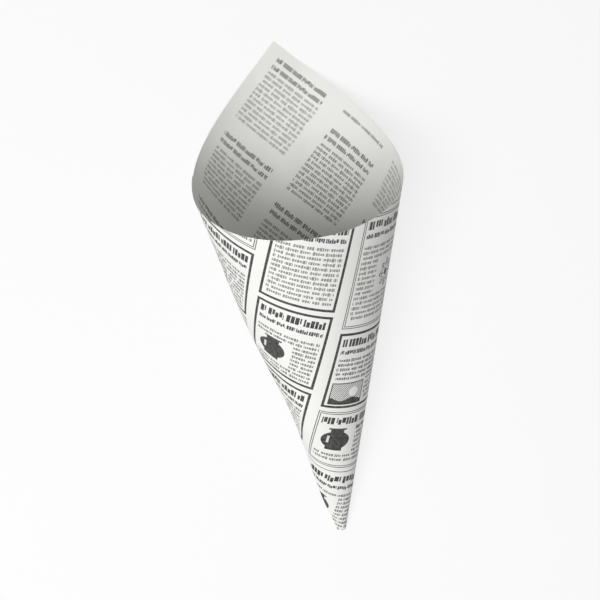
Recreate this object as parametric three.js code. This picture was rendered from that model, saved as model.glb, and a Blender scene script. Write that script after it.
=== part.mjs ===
import * as THREE from 'three';
import { mergeVertices } from 'three/addons/utils/BufferGeometryUtils.js';

// Greaseproof paper cone for hot snacks, in millimetres, +Z up.
// It is one sheet, cut with a square corner, rolled through a little over one turn about a point
// and glued where its outer end laps over its inner end. The square corner makes the tall back.
// The cone is empty and lies on its back, with the tall corner towards +Y.

// The flat sheet. Angles are measured on the flat sheet, about the point that it is rolled round,
// from the line through that point and the tall corner.
const sheetSide = 180;
const flatAnglePerTurn = 90;
const innerEndAngle = 26;
const glueLapAngle = 8;
const tipTrim = 6.8;

// The wall. Real paper is thinner, so this thickness stands in for it.
const paperThickness = 0.3;
const lapGap = 0.1;

// The rolled form. These angles are measured round the cone.
const restingFlatAngle = 20;
const lapRiseAngle = 14;
const facetAngle = 6;
const rowLength = 12;

// Handling leaves soft places in the wall: how far round from the back, how far from the point,
// the spread round and along the cone, and how far the wall stands out there.
const softPlaces = [
  { round: -94, along: 24, spreadRound: 45, spreadAlong: 16, height: 0.7 },
  { round: -94, along: 76, spreadRound: 40, spreadAlong: 27, height: -1.9 },
  { round: -98, along: 136, spreadRound: 36, spreadAlong: 30, height: 1 },
];
const softFadeRound = 30;
const softFadeAlong = 20;

const paperColor = 0xf1f0ec;
const paperRoughness = 0.82;

const radians = THREE.MathUtils.degToRad;
const turn = 360;
const flatPerRound = flatAnglePerTurn / turn;
const cornerDistance = sheetSide * Math.SQRT2;

// The half angle of the cone follows from how much flat sheet goes into one turn.
const halfAngle = Math.asin(flatPerRound);
const restingHalf = restingFlatAngle / 2;

// The resting flat cuts a little off the round, so it leans slightly less than the cone's side does.
const restingTilt = Math.atan(Math.tan(halfAngle) * Math.cos(radians(restingHalf)));

const innerEnd = -innerEndAngle / flatPerRound;
const lapStart = turn + innerEnd;
const outerEnd = lapStart + glueLapAngle / flatPerRound;
const lapRiseStart = lapStart - lapRiseAngle;
const innerLapEnd = outerEnd - turn;

// Distance from the point to the straight edges that meet at the square corner.
function rimDistance(round) {
  const flatAngle = Math.abs(round * flatPerRound);
  return sheetSide / Math.cos(radians(45 - flatAngle));
}

// The outer end lies on the inner end, so the sheet steps out by one thickness before it.
function layerOffset(round) {
  const rise = THREE.MathUtils.smoothstep(round, lapRiseStart, lapStart);
  return rise * (paperThickness + lapGap);
}

function wrapped(angle) {
  return THREE.MathUtils.euclideanModulo(angle + turn / 2, turn) - turn / 2;
}

// The soft places fade out before the resting flat and at the tip, which keep their true form.
function softHeight(round, along) {
  let height = 0;
  for (const place of softPlaces) {
    const acrossRound = wrapped(round - place.round) / place.spreadRound;
    const acrossLength = (along - place.along) / place.spreadAlong;
    height += place.height * Math.exp(-acrossRound * acrossRound - acrossLength * acrossLength);
  }
  const fromFlat = THREE.MathUtils.smoothstep(Math.abs(wrapped(round)) - restingHalf, 0, softFadeRound);
  const fromTip = THREE.MathUtils.smoothstep(along - tipTrim, 0, softFadeAlong);
  return height * fromFlat * fromTip;
}

function roundDirection(round) {
  const angle = radians(round);
  return new THREE.Vector3(Math.sin(angle), Math.cos(angle), 0);
}

function lineDirection(round) {
  const along = roundDirection(round).multiplyScalar(Math.sin(halfAngle));
  along.z = Math.cos(halfAngle);
  return along;
}

// Across the resting flat the wall's lines lie in the plane through the flat's two sides.
function wallLine(round) {
  const side = wrapped(round);
  if (Math.abs(side) >= restingHalf) {
    return lineDirection(side);
  }
  const left = lineDirection(-restingHalf);
  const right = lineDirection(restingHalf);
  const share = (side + restingHalf) / restingFlatAngle;
  return left.lerp(right, share).normalize();
}

function wallNormal(round) {
  const side = wrapped(round);
  const onFlat = Math.abs(side) <= restingHalf;
  const tilt = onFlat ? restingTilt : halfAngle;
  const normal = roundDirection(onFlat ? 0 : side).multiplyScalar(Math.cos(tilt));
  normal.z = -Math.sin(tilt);
  return normal;
}

function sheetPoint(round, along, outward) {
  const offset = outward + layerOffset(round) + softHeight(round, along);
  return wallLine(round).multiplyScalar(along).addScaledVector(wallNormal(round), offset);
}

// The sheet is divided along straight lines through the point. Both layers of the lap are divided
// at the same places, so that they keep the same gap all over.
function divisions() {
  const breaks = [innerEnd, innerLapEnd, -restingHalf, 0, restingHalf, lapRiseStart, lapStart, outerEnd];
  const places = [innerEnd];
  for (let index = 1; index < breaks.length; index += 1) {
    const from = breaks[index - 1];
    const span = breaks[index] - from;
    const steps = Math.max(1, Math.round(span / facetAngle));
    for (let step = 1; step <= steps; step += 1) {
      places.push(from + (span * step) / steps);
    }
  }
  return places;
}

// A flat blank of the same topology is bent to the rolled form: its width runs round the cone,
// its height runs from the tip to the rim, and its depth is the paper's thickness.
function rolledSheet() {
  const places = divisions();
  const columns = places.length - 1;
  const rows = Math.round((cornerDistance - tipTrim) / rowLength);
  const blank = new THREE.BoxGeometry(1, 1, 1, columns, rows, 1);
  blank.deleteAttribute('normal');
  blank.deleteAttribute('uv');
  const sheet = mergeVertices(blank);
  const position = sheet.getAttribute('position');
  for (let index = 0; index < position.count; index += 1) {
    const column = Math.round((position.getX(index) + 0.5) * columns);
    const round = places[column];
    const share = position.getY(index) + 0.5;
    const along = THREE.MathUtils.lerp(tipTrim, rimDistance(round), share);
    const outward = position.getZ(index) > 0 ? 0 : paperThickness;
    const point = sheetPoint(round, along, outward);
    position.setXYZ(index, point.x, point.y, point.z);
  }
  return sheet;
}

// The cone is laid on its resting flat and centred over the origin.
function laidDown(sheet) {
  sheet.rotateX(restingTilt - Math.PI / 2);
  sheet.computeBoundingBox();
  const centre = sheet.boundingBox.getCenter(new THREE.Vector3());
  sheet.translate(-centre.x, -centre.y, -sheet.boundingBox.min.z);
  return sheet;
}

const paper = new THREE.MeshStandardMaterial({
  color: paperColor,
  roughness: paperRoughness,
  metalness: 0,
});

const cone = new THREE.Mesh(laidDown(rolledSheet()), paper);
cone.name = 'paper_cone';

const model = new THREE.Group();
model.add(cone);

export default model;
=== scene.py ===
import math

import bmesh
import bpy
from mathutils import Matrix, Vector


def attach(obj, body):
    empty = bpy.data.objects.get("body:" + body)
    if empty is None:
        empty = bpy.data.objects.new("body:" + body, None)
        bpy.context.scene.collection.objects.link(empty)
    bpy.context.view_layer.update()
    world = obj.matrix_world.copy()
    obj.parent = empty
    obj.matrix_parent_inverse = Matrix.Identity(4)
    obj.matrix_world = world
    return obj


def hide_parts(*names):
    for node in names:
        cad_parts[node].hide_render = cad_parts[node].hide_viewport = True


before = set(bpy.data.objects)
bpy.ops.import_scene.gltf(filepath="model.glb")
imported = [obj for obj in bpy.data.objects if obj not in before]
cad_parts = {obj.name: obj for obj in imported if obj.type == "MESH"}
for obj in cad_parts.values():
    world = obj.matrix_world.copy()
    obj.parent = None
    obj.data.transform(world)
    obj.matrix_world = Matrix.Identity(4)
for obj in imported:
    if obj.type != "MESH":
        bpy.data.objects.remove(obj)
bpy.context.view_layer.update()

# The paper is one sheet of greaseproof, cut with a square corner and rolled about a point through
# a little over one turn. Its outer end is glued over its inner end at the back left, and the
# square corner stands up as the tall back. It lies on a narrow flat along its back.
sheet_side = 0.180
flat_per_turn = 90.0
inner_end_flat = -26.0
glue_lap_flat = 8.0
tip_trim = 0.0068
cad_thickness = 0.0003
paper_thickness = 0.00012
lap_step = 0.0004
resting_flat = 20.0
lap_rise = 14.0
soft_fade_round = 30.0
soft_fade_along = 0.020

# Soft places from handling: degrees round from the back, metres from the point, the spread
# round and along, and how far the wall stands out.
soft_places = (
    (-94, 0.024, 45, 0.016, 0.0007),
    (-94, 0.076, 40, 0.027, -0.0019),
    (-98, 0.136, 36, 0.030, 0.0010),
)

corner_distance = sheet_side * math.sqrt(2)
flat_share = flat_per_turn / 360
half_angle = math.asin(flat_share)
resting_half = resting_flat / 2
resting_tilt = math.atan(math.tan(half_angle) * math.cos(math.radians(resting_half)))
inner_end = inner_end_flat / flat_share
outer_end = 360 + (inner_end_flat + glue_lap_flat) / flat_share

cad_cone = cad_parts["paper_cone"]
cad_points = [cad_cone.matrix_world @ vert.co for vert in cad_cone.data.vertices]
tall_corner = max(cad_points, key=lambda point: point.y)
roll_point = Vector((tall_corner.x, tall_corner.y - corner_distance, cad_thickness))
lay_down = Matrix.Rotation(resting_tilt - math.pi / 2, 3, "X")


def wrapped(angle):
    return (angle + 180) % 360 - 180


def eased(value, end):
    share = min(1.0, max(0.0, value / end))
    return share * share * (3 - 2 * share)


def rim_distance(turned):
    return sheet_side / math.cos(math.radians(45 - abs(turned * flat_share)))


def soft_height(turned, along):
    height = 0.0
    for place_turned, place_along, spread_turned, spread_along, stands_out in soft_places:
        across = wrapped(turned - place_turned) / spread_turned
        down = (along - place_along) / spread_along
        height += stands_out * math.exp(-across * across - down * down)
    beside_flat = eased(abs(wrapped(turned)) - resting_half, soft_fade_round)
    return height * beside_flat * eased(along - tip_trim, soft_fade_along)


def wall_line(turned):
    side = wrapped(turned)
    edge = max(resting_half, abs(side))
    left = Vector((-math.sin(math.radians(edge)), math.cos(math.radians(edge)), 0)) * flat_share
    right = Vector((-left.x, left.y, 0))
    share = (side / edge + 1) / 2
    line = left.lerp(right, share)
    line.z = math.cos(half_angle)
    return line.normalized()


def wall_normal(turned):
    side = wrapped(turned)
    tilt = half_angle
    if abs(side) <= resting_half:
        side = 0.0
        tilt = resting_tilt
    level = math.cos(tilt)
    around = math.radians(side)
    return Vector((math.sin(around) * level, math.cos(around) * level, -math.sin(tilt)))


def rolled(turned, along):
    lap = lap_step * eased(turned - 360 - inner_end + lap_rise, lap_rise)
    point = wall_line(turned) * along
    point += wall_normal(turned) * (cad_thickness + lap + soft_height(turned, along))
    return lay_down @ point + roll_point


# The blank is a grid: across it runs round the cone, and up it runs from the tip to the rim. Its
# lines fall on the sides of the flat and on the two ends of the lap.
facet = 3.0
row_length = 0.006
breaks = (inner_end, outer_end - 360, -resting_half, 0, resting_half, 360 + inner_end, outer_end)
turned_places = [inner_end]
for start, end in zip(breaks, breaks[1:]):
    steps = round((end - start) / facet)
    turned_places += [start + (end - start) * (step + 1) / steps for step in range(steps)]
columns = len(turned_places) - 1
rows = round(corner_distance / row_length)

blank = bmesh.new()
bmesh.ops.create_grid(blank, x_segments=columns, y_segments=rows, size=1)
print_map = blank.loops.layers.uv.new("print")
bake_map = blank.loops.layers.uv.new("OFBake")
turned_layer = blank.verts.layers.float.new("turned")
along_layer = blank.verts.layers.float.new("along")
for vert in blank.verts:
    turned = turned_places[round(columns * (vert.co.x + 1) / 2)]
    along = tip_trim + (rim_distance(turned) - tip_trim) * (vert.co.y + 1) / 2
    vert[turned_layer] = turned
    vert[along_layer] = along
    vert.co = rolled(turned, along)

# Paper has an outer and an inner face and a cut edge all round. Both faces know where they were on
# the flat sheet, in tenths of a metre, so that the print lies on them undistorted.
outer_face, inner_face, cut_edge = range(3)
facing_least = 0.5
outer_print_turn = 27.0
inner_print_turn = 45.0
map_unit = 0.1
bake_size = 0.3660
bake_margin = 0.0015

bmesh.ops.recalc_face_normals(blank, faces=blank.faces)
middle = blank.faces[:][len(blank.faces) // 2]
outward = lay_down @ wall_normal(middle.verts[0][turned_layer])
if middle.normal.dot(outward) < 0:
    bmesh.ops.reverse_faces(blank, faces=blank.faces)
for face in blank.faces:
    face.smooth = True
bmesh.ops.solidify(blank, geom=blank.faces[:], thickness=paper_thickness)
blank.normal_update()
for face in blank.faces:
    facing = sum((lay_down @ wall_normal(vert[turned_layer]) for vert in face.verts), Vector()).normalized()
    toward = face.normal.dot(facing)
    if toward > facing_least:
        face.material_index = outer_face
    elif toward < -facing_least:
        face.material_index = inner_face
    else:
        face.material_index = cut_edge
    face.smooth = face.material_index != cut_edge
    for loop in face.loops:
        flat_turn = loop.vert[turned_layer] * flat_share
        along = loop.vert[along_layer]
        from_edge = math.radians(flat_turn - inner_print_turn)
        if face.material_index == inner_face:
            across = along * math.sin(from_edge)
            up = along * math.cos(from_edge)
        else:
            from_column = math.radians(flat_turn - outer_print_turn)
            across = -along * math.sin(from_column)
            up = along * math.cos(from_column)
        loop[print_map].uv = (across / map_unit, up / map_unit)
        bake_across = along * math.sin(from_edge) + sheet_side + bake_margin
        bake_up = along * math.cos(from_edge) + bake_margin
        if face.material_index == inner_face:
            bake_up += sheet_side + bake_margin
        loop[bake_map].uv = (bake_across / bake_size, bake_up / bake_size)
for edge in blank.edges:
    edge.smooth = len({face.material_index for face in edge.link_faces}) == 1

cone_mesh = bpy.data.meshes.new("printed_cone")
blank.to_mesh(cone_mesh)
blank.free()
cone = bpy.data.objects.new("printed_cone", cone_mesh)
bpy.context.collection.objects.link(cone)

# The paper is matt and a little warm, with soft fibres. The print is dark grey ink in the look of
# a sheet of newsprint: columns with gutters, ruled boxes, rows of upright strokes and a few plain
# pictures. None of it is lettering. Its sizes are millimetres on the flat sheet.
millimetres = 1000.0
column_pitch = 42.0
gutter = 5.6
box_height = 47.0
box_evenness = 0.55
box_gap = 1.2
heavy_rule = 1.3
fine_rule = 0.4
double_rule_pitch = 1.0
print_inset = 2.6
first_heading_top = 3.2
heading_gap = 2.0
second_heading_height = 2.2
heading_stroke_share = 0.475
heading_words_share = 0.19
below_heading_gap = 1.8
picture_inset = 2.0
picture_off_middle = 6.4
picture_below_middle = 4.5
picture_room_across = 10.4
picture_room_up = 8.4
line_pitch = 2.5
word_length = 6.4
stroke_pitch = 1.15
line_clearance = 0.4

# How far the layout shifts from one column, box or line to the next, so that no two are alike.
box_column_shift = 7.31
heading_column_shift, heading_box_shift = 57.0, 970.0
small_column_shift, small_line_shift = 11.3, 3.77

# Which of the random values, from 0 to 1, go with which rules, strokes and pictures.
heavy_to, double_to = 0.35, 0.88
hills_from, flowers_from, jars_from = 0.3, 0.5, 0.72
second_side_from = 0.5
short_heads_to, short_feet_from = 0.3, 0.84

# Shares of a row, a stroke, a group of strokes or full ink.
short_head_to, short_foot_from = 0.27, 0.76
heading_evenness, heading_stroke_gap, heading_word_gap = 0.7, 0.1, 0.055
small_evenness, small_stroke_gap, small_word_gap = 0.8, 0.12, 0.06
small_least_height, small_height_spread = 0.2, 0.16
small_least_ink, small_ink_spread = 0.65, 0.25
least_coverage, ink_wear = 0.84, 0.25

ink_colour = (0.035, 0.035, 0.034, 1)
sheet_colours = ((0.80, 0.80, 0.77, 1), (0.87, 0.87, 0.85, 1))
cut_edge_colours = ((0.78, 0.78, 0.75, 1), (0.88, 0.88, 0.86, 1))


class Shades:
    """Builds a material from short calls, one node for each."""

    def __init__(self, name):
        self.material = bpy.data.materials.new(name)
        self.material.use_nodes = True
        self.tree = self.material.node_tree
        self.surface = self.tree.nodes["Principled BSDF"]

    def put(self, node, socket, value):
        if isinstance(value, bpy.types.NodeSocket):
            self.tree.links.new(value, node.inputs[socket])
        else:
            node.inputs[socket].default_value = value

    def node(self, kind, settings, **inputs):
        made = self.tree.nodes.new(kind)
        for key, value in settings.items():
            setattr(made, key, value)
        for key, value in inputs.items():
            self.put(made, key.replace("_", " "), value)
        return made

    def math(self, operation, *values):
        made = self.node("ShaderNodeMath", {"operation": operation})
        for socket, value in enumerate(values):
            self.put(made, socket, value)
        return made.outputs[0]

    def add(self, *values):
        total = values[0]
        for value in values[1:]:
            total = self.math("ADD", total, value)
        return total

    def minus(self, value, other):
        return self.math("SUBTRACT", value, other)

    def scaled(self, value, scale, shift=0.0):
        return self.math("MULTIPLY_ADD", value, scale, shift)

    def squared(self, value):
        return self.math("MULTIPLY", value, value)

    def absolute(self, value):
        return self.math("ABSOLUTE", value)

    def both(self, *values):
        """Where all the shapes overlap."""
        shared = values[0]
        for value in values[1:]:
            shared = self.math("MULTIPLY", shared, value)
        return shared

    def either(self, *values):
        """Where any of the shapes is."""
        joined = values[0]
        for value in values[1:]:
            joined = self.math("MAXIMUM", joined, value)
        return joined

    def without(self, value):
        return self.minus(1.0, value)

    def beyond(self, value, limit):
        return self.math("GREATER_THAN", value, limit)

    def below(self, value, limit):
        return self.math("LESS_THAN", value, limit)

    def within(self, value, low, high):
        return self.math("COMPARE", value, (low + high) / 2, (high - low) / 2)

    def oval(self, across, up, wide, high):
        """A filled oval about the place where across and up are zero."""
        x = self.squared(self.scaled(across, 1 / wide))
        y = self.squared(self.scaled(up, 1 / high))
        return self.below(self.add(x, y), 1.0)

    def bar(self, across, up, wide, low, high):
        """A filled bar that reaches as far as wide to both sides, from low to high."""
        return self.both(self.below(self.absolute(across), wide), self.within(up, low, high))

    def mixed(self, share, first, second):
        mix = self.node("ShaderNodeMix", {"data_type": "RGBA"}, Factor=share)
        for socket, colour in ((mix.inputs["A"], first), (mix.inputs["B"], second)):
            if isinstance(colour, bpy.types.NodeSocket):
                self.tree.links.new(colour, socket)
            else:
                socket.default_value = colour
        return mix.outputs["Result"]

    def cells(self, place, evenness):
        """Cells of uneven length along one value: how far a place is from its cell's middle and
        from its nearest end, and three values that are random for each cell."""
        shared = {"W": place, "Scale": 1.0, "Randomness": evenness}
        one_value = {"voronoi_dimensions": "1D"}
        cell = self.node("ShaderNodeTexVoronoi", {**one_value, "feature": "F1"}, **shared)
        ends = self.node("ShaderNodeTexVoronoi", {**one_value, "feature": "DISTANCE_TO_EDGE"}, **shared)
        picks = self.node("ShaderNodeSeparateXYZ", {}, Vector=cell.outputs["Color"]).outputs
        return self.minus(place, cell.outputs["W"]), ends.outputs["Distance"], picks


class PrintedSheet(Shades):
    """The shades of a printed sheet, with its columns and boxes: how far each place is from the
    sides, ends and middle of its box, which random values the box has, and where its picture is."""

    def __init__(self, name, pictured, columns_from, shift):
        super().__init__(name)
        self.flat_place = self.node("ShaderNodeUVMap", {"uv_map": "print"}).outputs[0]
        parts = self.node("ShaderNodeSeparateXYZ", {}, Vector=self.flat_place)
        self.across = self.scaled(parts.outputs[0], map_unit * millimetres)
        self.up = self.scaled(parts.outputs[1], map_unit * millimetres)

        column_place = self.scaled(self.across, 1 / column_pitch, -columns_from / column_pitch)
        self.column = self.math("FLOOR", column_place)
        self.off_middle = self.scaled(self.math("FRACT", column_place), column_pitch, -column_pitch / 2)
        self.from_side = self.minus((column_pitch - gutter) / 2, self.absolute(self.off_middle))

        box_shift = self.scaled(self.column, box_column_shift, shift)
        box_place = self.add(self.scaled(self.up, 1 / box_height), box_shift)
        off_box, to_end, self.picks = self.cells(box_place, box_evenness)
        self.above = self.scaled(off_box, box_height)
        self.upper = self.beyond(self.above, 0.0)
        self.from_end = self.scaled(to_end, box_height, -box_gap)
        self.inside = self.math("MINIMUM", self.from_side, self.from_end)

        second_side = self.beyond(self.picks[1], second_side_from)
        to_picture = self.scaled(second_side, 2 * picture_off_middle, -picture_off_middle)
        self.picture_across = self.add(self.off_middle, to_picture)
        self.picture_up = self.add(self.above, picture_below_middle)
        near_picture = self.below(self.absolute(self.picture_across), picture_room_across)
        self.beside_picture = self.both(near_picture, self.beyond(self.picks[2], hills_from), pictured)

    def picture_room(self, picture_up):
        """The room that a box's picture takes up."""
        return self.both(self.beside_picture, self.below(self.absolute(picture_up), picture_room_up))


def frame_rules(sheet):
    """A frame of one heavy rule or two fine ones, or plain rules above and below."""
    heavy = sheet.within(sheet.inside, 0.0, heavy_rule)
    heavy = sheet.both(heavy, sheet.below(sheet.picks[0], heavy_to))
    outer_rule = sheet.within(sheet.inside, 0.0, fine_rule)
    inner_rule = sheet.within(sheet.inside, double_rule_pitch, double_rule_pitch + fine_rule)
    double = sheet.either(outer_rule, inner_rule)
    double = sheet.both(double, sheet.within(sheet.picks[0], heavy_to, double_to))
    plain = sheet.both(sheet.within(sheet.from_end, 0.0, fine_rule), sheet.beyond(sheet.from_side, 0.0))
    return sheet.either(heavy, double, plain)


def heading_strokes(sheet, heading_height):
    """Two rows of bold strokes at the head of each box, in groups. Some strokes stop short, and
    the second row makes room for a picture."""
    second_top = first_heading_top + heading_height + heading_gap
    down_first = sheet.add(sheet.from_end, -first_heading_top)
    down_first = sheet.scaled(down_first, 1 / heading_height)
    down_second = sheet.add(sheet.from_end, -second_top)
    down_second = sheet.scaled(down_second, 1 / second_heading_height)
    first_row = sheet.within(down_first, 0.0, 1.0)
    second_row = sheet.within(down_second, 0.0, 1.0)
    down_row = sheet.add(sheet.both(down_first, first_row), sheet.both(down_second, second_row))

    finer = sheet.scaled(second_row, heading_height / second_heading_height - 1, 1.0)
    stroke_place = sheet.scaled(sheet.off_middle, 1 / (heading_height * heading_stroke_share))
    column_shift = sheet.scaled(sheet.column, heading_column_shift)
    box_shift = sheet.scaled(sheet.picks[1], heading_box_shift)
    stroke_place = sheet.add(sheet.both(stroke_place, finer), column_shift, box_shift)
    _, to_gap, stroke_picks = sheet.cells(stroke_place, heading_evenness)
    _, to_space, _ = sheet.cells(sheet.scaled(stroke_place, heading_words_share), 1.0)
    strokes = sheet.both(sheet.beyond(to_gap, heading_stroke_gap), sheet.beyond(to_space, heading_word_gap))

    short_head = sheet.below(down_row, short_head_to)
    short_head = sheet.both(short_head, sheet.below(stroke_picks[0], short_heads_to))
    short_foot = sheet.beyond(down_row, short_foot_from)
    short_foot = sheet.both(short_foot, sheet.beyond(stroke_picks[0], short_feet_from))
    for_picture = sheet.both(second_row, sheet.picture_room(sheet.picture_up))
    strokes = sheet.both(strokes, sheet.without(sheet.either(short_head, short_foot, for_picture)))
    rows = sheet.both(sheet.either(first_row, second_row), sheet.upper)
    return sheet.both(rows, strokes, sheet.beyond(sheet.inside, print_inset))


def small_lines(sheet, heading_height):
    """Lines of small strokes, in groups, that fill the rest of each box. A line is left out whole
    where its middle is too near a heading, a frame or a picture."""
    line_place = sheet.scaled(sheet.up, 1 / line_pitch)
    line = sheet.math("FLOOR", line_place)
    above_line = sheet.add(sheet.math("FRACT", line_place), -0.5)
    line_shift = sheet.scaled(line, small_line_shift)
    column_shift = sheet.scaled(sheet.column, small_column_shift)
    group_place = sheet.add(sheet.scaled(sheet.off_middle, 1 / word_length), line_shift, column_shift)
    _, to_group_end, _ = sheet.cells(group_place, 1.0)
    stroke_place = sheet.scaled(group_place, word_length / stroke_pitch)
    _, to_stroke_end, stroke_picks = sheet.cells(stroke_place, small_evenness)
    half_height = sheet.scaled(stroke_picks[0], small_height_spread, small_least_height)
    strokes = sheet.both(
        sheet.beyond(to_group_end, small_word_gap),
        sheet.beyond(to_stroke_end, small_stroke_gap),
        sheet.below(sheet.minus(sheet.absolute(above_line), half_height), 0.0),
    )

    off_line = sheet.scaled(above_line, line_pitch)
    toward_head = sheet.scaled(sheet.upper, 2.0, -1.0)
    line_from_end = sheet.add(sheet.from_end, sheet.both(off_line, toward_head))
    headings_end = first_heading_top + heading_height + heading_gap + second_heading_height
    room_at_head = headings_end + below_heading_gap + line_clearance
    room_at_foot = print_inset + line_clearance
    room_at_end = sheet.scaled(sheet.upper, room_at_head - room_at_foot, room_at_foot)
    clear_of_end = sheet.beyond(sheet.minus(line_from_end, room_at_end), 0.0)
    clear_of_picture = sheet.without(sheet.picture_room(sheet.minus(sheet.picture_up, off_line)))
    lines = sheet.both(clear_of_end, sheet.beyond(sheet.from_side, print_inset), clear_of_picture)
    return sheet.both(strokes, lines, sheet.scaled(sheet.picks[1], small_ink_spread, small_least_ink))


def jar_picture(shades, across, up):
    """A round jar with a collar, a lip and a foot, and a light streak down its bowl."""
    bowl = shades.oval(across, up, wide=7.2, high=5.2)
    collar = shades.bar(across, up, wide=3.4, low=3.4, high=6.8)
    lip = shades.bar(across, up, wide=4.6, low=6.2, high=7.1)
    foot = shades.bar(across, up, wide=4.2, low=-6.1, high=-4.2)
    streak_middle, streak_lightness = 3.8, 0.8
    streak = shades.bar(shades.add(across, streak_middle), up, wide=0.6, low=-1.8, high=2.4)
    return shades.both(shades.either(bowl, collar, lip, foot), shades.scaled(streak, -streak_lightness, 1.0))


def flower_picture(shades, across, up):
    """A flower of eight outlined petals, each with a vein, round a dark heart."""
    petal_count, petal_root, petal_length, outline_width = 8, 3.9, 3.0, 0.7
    vein_sharpness, vein_from, vein_to = 0.93, 2.6, 5.4
    heart_radius = 1.7
    around = shades.math("ARCTAN2", up, across)
    out = shades.math("SQRT", shades.add(shades.squared(across), shades.squared(up)))
    petals = shades.absolute(shades.math("COSINE", shades.scaled(around, petal_count / 2)))
    to_outline = shades.minus(shades.scaled(petals, petal_length, petal_root), out)
    outline = shades.within(to_outline, 0.0, outline_width)
    veins = shades.both(shades.beyond(petals, vein_sharpness), shades.within(out, vein_from, vein_to))
    heart = shades.below(out, heart_radius)
    return shades.either(outline, veins, heart)


def hill_picture(shades, across, up):
    """A framed view of dark hills under a hatched sky with a pale sun."""
    half_width, half_height, frame_width = 9.2, 6.6, 0.5
    sun_across, sun_up, sun_radius = 3.2, 1.4, 2.6
    hatching_across, hatching_up, hatching_ink = 0.9, 1.1, 0.4
    hills_top, hills_swing, hills_closeness = -2.6, 0.9, 0.5
    to_side = shades.minus(half_width, shades.absolute(across))
    to_end = shades.minus(half_height, shades.absolute(up))
    inside = shades.math("MINIMUM", to_side, to_end)
    sun = shades.oval(shades.add(across, -sun_across), shades.add(up, -sun_up), sun_radius, sun_radius)
    slant = shades.add(shades.scaled(across, hatching_across), shades.scaled(up, hatching_up))
    sky = shades.both(shades.below(shades.math("FRACT", slant), hatching_ink), shades.without(sun))
    hill_line = shades.math("SINE", shades.scaled(across, hills_closeness))
    hill_line = shades.scaled(hill_line, hills_swing, hills_top)
    hills = shades.below(shades.minus(up, hill_line), 0.0)
    picture = shades.either(sky, hills, shades.below(inside, frame_width))
    return shades.both(picture, shades.beyond(inside, 0.0))


def box_pictures(sheet):
    """One plain picture to one side of the middle of a box, in some of the boxes."""
    jar = jar_picture(sheet, sheet.picture_across, sheet.picture_up)
    jar = sheet.both(jar, sheet.beyond(sheet.picks[2], jars_from))
    flower = flower_picture(sheet, sheet.picture_across, sheet.picture_up)
    flower = sheet.both(flower, sheet.within(sheet.picks[2], flowers_from, jars_from))
    hill = hill_picture(sheet, sheet.picture_across, sheet.picture_up)
    hill = sheet.both(hill, sheet.within(sheet.picks[2], hills_from, flowers_from))
    return sheet.both(sheet.either(jar, flower, hill), sheet.beyond(sheet.inside, picture_inset))


def printed_paper(name, ink, framed, pictured, heading_height, columns_from, print_reach, shift):
    """Paper with print. framed and pictured are 1 where the boxes have frames and pictures, and
    print_reach is how far from the point the print goes, towards both straight edges."""
    sheet = PrintedSheet(name, pictured, columns_from, shift)
    rules = sheet.both(frame_rules(sheet), framed)
    headings = heading_strokes(sheet, heading_height)
    pictures = sheet.both(box_pictures(sheet), pictured)
    small = small_lines(sheet, heading_height)

    # The ink takes a little unevenly.
    reached = sheet.both(sheet.below(sheet.up, print_reach), sheet.beyond(sheet.across, -print_reach))
    wear = sheet.node("ShaderNodeTexNoise", {}, Vector=sheet.flat_place, Scale=60.0, Detail=3.0)
    coverage = sheet.scaled(wear.outputs["Fac"], ink_wear * ink, least_coverage * ink)
    printed = sheet.both(sheet.either(rules, headings, pictures, small), reached, coverage)
    printed = sheet.math("MINIMUM", printed, 1.0)

    # The sheet has a faint cloud in its colour, fibres in its surface and slow waves.
    cloud = sheet.node("ShaderNodeTexNoise", {}, Vector=sheet.flat_place, Scale=3.0, Detail=4.0)
    sheet_colour = sheet.mixed(cloud.outputs["Fac"], *sheet_colours)
    fibres = sheet.node("ShaderNodeTexNoise", {}, Vector=sheet.flat_place, Scale=220.0, Detail=5.0)
    grain = sheet.node("ShaderNodeBump", {}, Strength=0.12, Distance=0.0001, Height=fibres.outputs["Fac"])
    ripple = sheet.node("ShaderNodeTexNoise", {}, Vector=sheet.flat_place, Scale=4.0, Detail=2.0)
    waves = sheet.node("ShaderNodeBump", {}, Strength=0.35, Distance=0.0015, Height=ripple.outputs["Fac"])
    sheet.put(waves, "Normal", grain.outputs[0])
    sheet.put(sheet.surface, "Base Color", sheet.mixed(printed, sheet_colour, ink_colour))
    sheet.put(sheet.surface, "Normal", waves.outputs[0])
    sheet.put(sheet.surface, "Roughness", sheet.scaled(fibres.outputs["Fac"], 0.2, 0.55))
    sheet.put(sheet.surface, "Specular IOR Level", 0.35)
    return sheet.material


def cut_paper(name):
    shades = Shades(name)
    place = shades.node("ShaderNodeTexCoord", {})
    fibres = shades.node("ShaderNodeTexNoise", {}, Vector=place.outputs["Object"], Scale=900.0)
    shades.put(shades.surface, "Base Color", shades.mixed(fibres.outputs["Fac"], *cut_edge_colours))
    shades.surface.inputs["Roughness"].default_value = 0.85
    return shades.material


# The outer print runs off the sheet. The inner one is finer and paler, has no frames, and leaves a
# margin at both straight edges.
outer_print = printed_paper(
    "outer_print", ink=1.0, framed=1.0, pictured=1.0, heading_height=4.0,
    columns_from=-34.0, print_reach=600.0, shift=2.0,
)
inner_print = printed_paper(
    "inner_print", ink=0.8, framed=0.0, pictured=0.0, heading_height=2.4,
    columns_from=-178.5, print_reach=175.0, shift=5.0,
)
cone_mesh.materials.append(outer_print)
cone_mesh.materials.append(inner_print)
cone_mesh.materials.append(cut_paper("cut_paper_edge"))

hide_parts("paper_cone")
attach(cone, "root")

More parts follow.
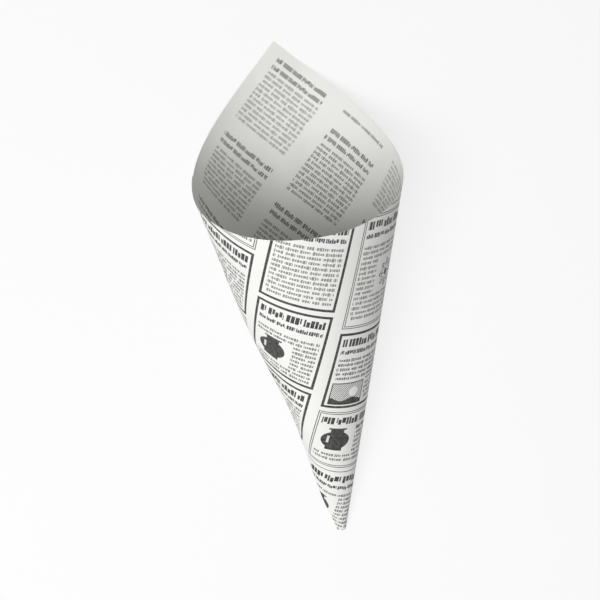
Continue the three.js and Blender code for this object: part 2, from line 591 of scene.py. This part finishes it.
# The floor is a plain pale surface that the cone lies on. It takes the cone's soft shadow, and is
# lightened where the camera sees it.
floor_lightening = 0.78
floor_half = 12.0
floor_colour = (0.86, 0.86, 0.86, 1)
floor_mesh = bpy.data.meshes.new("floor")
slab = bmesh.new()
bmesh.ops.create_grid(slab, x_segments=1, y_segments=1, size=floor_half)
slab.to_mesh(floor_mesh)
slab.free()
floor = bpy.data.objects.new("floor", floor_mesh)
bpy.context.collection.objects.link(floor)
floor_shades = Shades("pale_floor")
floor_shades.surface.inputs["Base Color"].default_value = floor_colour
floor_shades.surface.inputs["Roughness"].default_value = 0.9
floor_glow = floor_shades.node("ShaderNodeEmission", {}, Color=(1, 1, 1, 1), Strength=1.0)
rays = floor_shades.node("ShaderNodeLightPath", {}).outputs
seen = floor_shades.either(rays["Is Camera Ray"], rays["Is Glossy Ray"], rays["Is Transmission Ray"])
lightened = floor_shades.node("ShaderNodeMixShader", {}, Fac=floor_shades.scaled(seen, floor_lightening))
floor_shades.tree.links.new(floor_shades.surface.outputs[0], lightened.inputs[1])
floor_shades.tree.links.new(floor_glow.outputs[0], lightened.inputs[2])
surface_in = floor_shades.tree.nodes["Material Output"].inputs["Surface"]
floor_shades.tree.links.new(lightened.outputs[0], surface_in)
floor_mesh.materials.append(floor_shades.material)

# The light is a large soft lamp, high up on the left, and a plain pale world, which fills in the
# shadows.
middle_of_cone = (0, 0, 0.03)
away = (0, 1, 0)
world = bpy.data.worlds.new("pale_world")
bpy.context.scene.world = world
world.use_nodes = True
backdrop = world.node_tree.nodes["Background"]
backdrop.inputs["Color"].default_value = (1, 1, 1, 1)
backdrop.inputs["Strength"].default_value = 0.30


def aimed(thing, place, target, up):
    back = (Vector(place) - Vector(target)).normalized()
    right = Vector(up).cross(back).normalized()
    turn = Matrix((right, back.cross(right), back)).transposed()
    thing.matrix_world = Matrix.Translation(place) @ turn.to_4x4()


def soft_lamp(name, place, size, power):
    lamp = bpy.data.lights.new(name, "AREA")
    lamp.size = size
    lamp.energy = power
    holder = bpy.data.objects.new(name, lamp)
    bpy.context.collection.objects.link(holder)
    aimed(holder, place, middle_of_cone, away)


soft_lamp("key_lamp", place=(-0.40, -0.20, 0.90), size=0.6, power=8.2)

# The camera looks almost straight down, from a little beyond the middle of the cone, so that it
# sees into the mouth.
camera_data = bpy.data.cameras.new("camera")
camera_data.sensor_width = 36
camera_data.lens = 75.6
camera = bpy.data.objects.new("camera", camera_data)
bpy.context.collection.objects.link(camera)
camera_place = (-0.0349, 0.0462, 0.6329)
camera_target = (-0.0061, -0.0028, 0.030)
camera_up = (0.139, 0.990, 0)
aimed(camera, camera_place, camera_target, camera_up)
bpy.context.scene.camera = camera
bpy.context.scene.view_settings.view_transform = "Standard"
